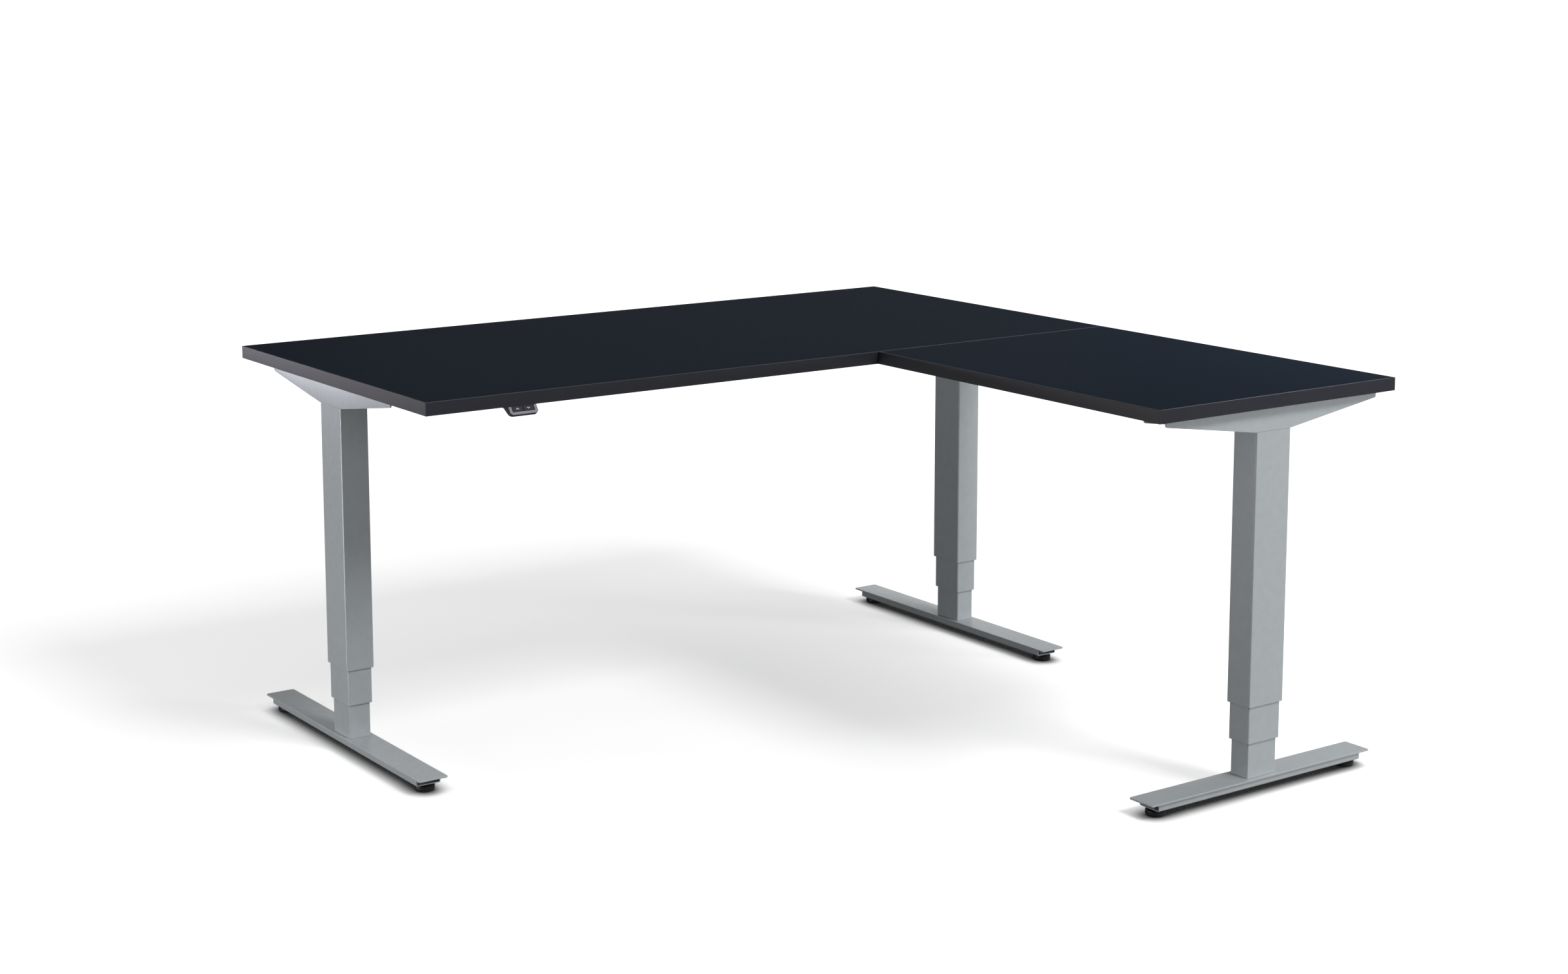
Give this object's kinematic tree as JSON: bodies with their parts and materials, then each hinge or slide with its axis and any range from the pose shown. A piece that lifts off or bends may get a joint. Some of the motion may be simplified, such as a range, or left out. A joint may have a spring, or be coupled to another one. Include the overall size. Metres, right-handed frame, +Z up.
{
  "type": "height adjustable standing desk",
  "caption": "L-shaped corner desk whose dark boards rise on rectangular three-stage telescopic legs with flat feet, driven by motors from a two-key handset under the front edge",
  "frame": {"origin": "on the floor under the middle of the desk's outline, with the boards at the pictured height", "axes": "+Z up, +X along the main board from left to right, the return board points towards -Y"},
  "size_m": [1.6, 1.6, 0.75],
  "materials": {
    "laminate": "matt dark laminate",
    "edge": "matt dark edge banding",
    "silver_paint": "satin silver-grey powder coat",
    "cast_metal": "as cast",
    "motor_metal": "black painted steel",
    "steel": "turned steel",
    "black_plastic": "moulded black plastic",
    "white_plastic": "moulded natural plastic",
    "glide_rubber": "black rubber",
    "rim_plastic": "light grey satin plastic",
    "key_plastic": "dark satin keys",
    "circuit": "green circuit board",
    "cable": "black cable jacket",
    "zinc": "zinc plated"
  },
  "bodies": {
    "base": {"left_inner_tube": "silver_paint", "left_inner_guide": "white_plastic", "left_foot": "silver_paint", "middle_inner_tube": "silver_paint", "middle_inner_guide": "white_plastic", "middle_foot": "silver_paint", "right_inner_tube": "silver_paint", "right_inner_guide": "white_plastic", "right_foot": "silver_paint", "foot_screws": "zinc"},
    "left_middle_stage": {"left_mid_tube": "silver_paint", "left_mid_guide": "black_plastic"},
    "middle_middle_stage": {"middle_mid_tube": "silver_paint", "middle_mid_guide": "black_plastic"},
    "right_middle_stage": {"right_mid_tube": "silver_paint", "right_mid_guide": "black_plastic"},
    "left_upper_spindle": {"left_upper_screw": "steel"},
    "left_lower_spindle": {"left_lower_screw": "steel"},
    "middle_upper_spindle": {"middle_upper_screw": "steel"},
    "middle_lower_spindle": {"middle_lower_screw": "steel"},
    "right_upper_spindle": {"right_upper_screw": "steel"},
    "right_lower_spindle": {"right_lower_screw": "steel"},
    "left_front_glide": {"left_front_glide": "glide_rubber"},
    "left_back_glide": {"left_back_glide": "glide_rubber"},
    "middle_front_glide": {"middle_front_glide": "glide_rubber"},
    "middle_back_glide": {"middle_back_glide": "glide_rubber"},
    "right_inner_glide": {"right_inner_glide": "glide_rubber"},
    "right_outer_glide": {"right_outer_glide": "glide_rubber"},
    "up_key": {"up_button": "key_plastic"},
    "down_key": {"down_button": "key_plastic"},
    "desktop": {"main_top": "laminate", "return_top": "laminate", "edge_bands": "edge", "left_bracket": "silver_paint", "left_head": "cast_metal", "left_drive": "motor_metal", "left_outer_tube": "silver_paint", "middle_bracket": "silver_paint", "middle_head": "cast_metal", "middle_drive": "motor_metal", "middle_outer_tube": "silver_paint", "right_bracket": "silver_paint", "right_head": "cast_metal", "right_drive": "motor_metal", "right_outer_tube": "silver_paint", "main_beam": "silver_paint", "main_beam_rails": "silver_paint", "return_beam": "silver_paint", "joining_plates": "zinc", "control_box_case": "black_plastic", "control_box_lid": "black_plastic", "control_board": "circuit", "mains_inlet": "black_plastic", "handset_case": "black_plastic", "handset_rim": "rim_plastic", "handset_board": "circuit", "motor_leads": "cable", "handset_lead": "cable", "board_screws": "zinc", "head_screws": "zinc"}
  },
  "joints": [
    {"name": "lift", "type": "slide", "parent": "base", "child": "desktop", "axis": [0, 0, 1], "range_m": [-0.13, 0.49]},
    {"name": "left_stage_slide", "type": "slide", "parent": "base", "child": "left_middle_stage", "axis": [0, 0, 1], "range_m": [-0.065, 0.245]},
    {"name": "middle_stage_slide", "type": "slide", "parent": "base", "child": "middle_middle_stage", "axis": [0, 0, 1], "range_m": [-0.065, 0.245]},
    {"name": "right_stage_slide", "type": "slide", "parent": "base", "child": "right_middle_stage", "axis": [0, 0, 1], "range_m": [-0.065, 0.245]},
    {"name": "left_upper_spin", "type": "hinge", "parent": "desktop", "child": "left_upper_spindle", "pos_m": [-0.754, 0.43, 0.3], "axis": [0, 0, 1], "range_deg": [-2342, 8822]},
    {"name": "left_lower_spin", "type": "hinge", "parent": "left_middle_stage", "child": "left_lower_spindle", "pos_m": [-0.754, 0.43, 0.3], "axis": [0, 0, 1], "range_deg": [-2342, 8822]},
    {"name": "middle_upper_spin", "type": "hinge", "parent": "desktop", "child": "middle_upper_spindle", "pos_m": [0.754, 0.43, 0.3], "axis": [0, 0, 1], "range_deg": [-2342, 8822]},
    {"name": "middle_lower_spin", "type": "hinge", "parent": "middle_middle_stage", "child": "middle_lower_spindle", "pos_m": [0.754, 0.43, 0.3], "axis": [0, 0, 1], "range_deg": [-2342, 8822]},
    {"name": "right_upper_spin", "type": "hinge", "parent": "desktop", "child": "right_upper_spindle", "pos_m": [0.5, -0.754, 0.3], "axis": [0, 0, 1], "range_deg": [-2342, 8822]},
    {"name": "right_lower_spin", "type": "hinge", "parent": "right_middle_stage", "child": "right_lower_spindle", "pos_m": [0.5, -0.754, 0.3], "axis": [0, 0, 1], "range_deg": [-2342, 8822]},
    {"name": "left_front_glide_height", "type": "slide", "parent": "base", "child": "left_front_glide", "axis": [0, 0, 1], "range_m": [-0.01, 0.0015]},
    {"name": "left_back_glide_height", "type": "slide", "parent": "base", "child": "left_back_glide", "axis": [0, 0, 1], "range_m": [-0.01, 0.0015]},
    {"name": "middle_front_glide_height", "type": "slide", "parent": "base", "child": "middle_front_glide", "axis": [0, 0, 1], "range_m": [-0.01, 0.0015]},
    {"name": "middle_back_glide_height", "type": "slide", "parent": "base", "child": "middle_back_glide", "axis": [0, 0, 1], "range_m": [-0.01, 0.0015]},
    {"name": "right_inner_glide_height", "type": "slide", "parent": "base", "child": "right_inner_glide", "axis": [0, 0, 1], "range_m": [-0.01, 0.0015]},
    {"name": "right_outer_glide_height", "type": "slide", "parent": "base", "child": "right_outer_glide", "axis": [0, 0, 1], "range_m": [-0.01, 0.0015]},
    {"name": "up_press", "type": "slide", "parent": "desktop", "child": "up_key", "axis": [0, 0.8008, -0.599], "range_m": [0, 0.001], "stiffness_N_per_m": 900, "springref_m": -0.001},
    {"name": "down_press", "type": "slide", "parent": "desktop", "child": "down_key", "axis": [0, 0.8008, -0.599], "range_m": [0, 0.001], "stiffness_N_per_m": 900, "springref_m": -0.001}
  ],
  "couplings": [
    {"joint": "left_stage_slide", "follows": "lift", "ratio": 0.5},
    {"joint": "middle_stage_slide", "follows": "lift", "ratio": 0.5},
    {"joint": "right_stage_slide", "follows": "lift", "ratio": 0.5},
    {"joint": "left_upper_spin", "follows": "lift", "rad_per_m": 314.16},
    {"joint": "left_lower_spin", "follows": "lift", "rad_per_m": 314.16},
    {"joint": "middle_upper_spin", "follows": "lift", "rad_per_m": 314.16},
    {"joint": "middle_lower_spin", "follows": "lift", "rad_per_m": 314.16},
    {"joint": "right_upper_spin", "follows": "lift", "rad_per_m": 314.16},
    {"joint": "right_lower_spin", "follows": "lift", "rad_per_m": 314.16}
  ]
}
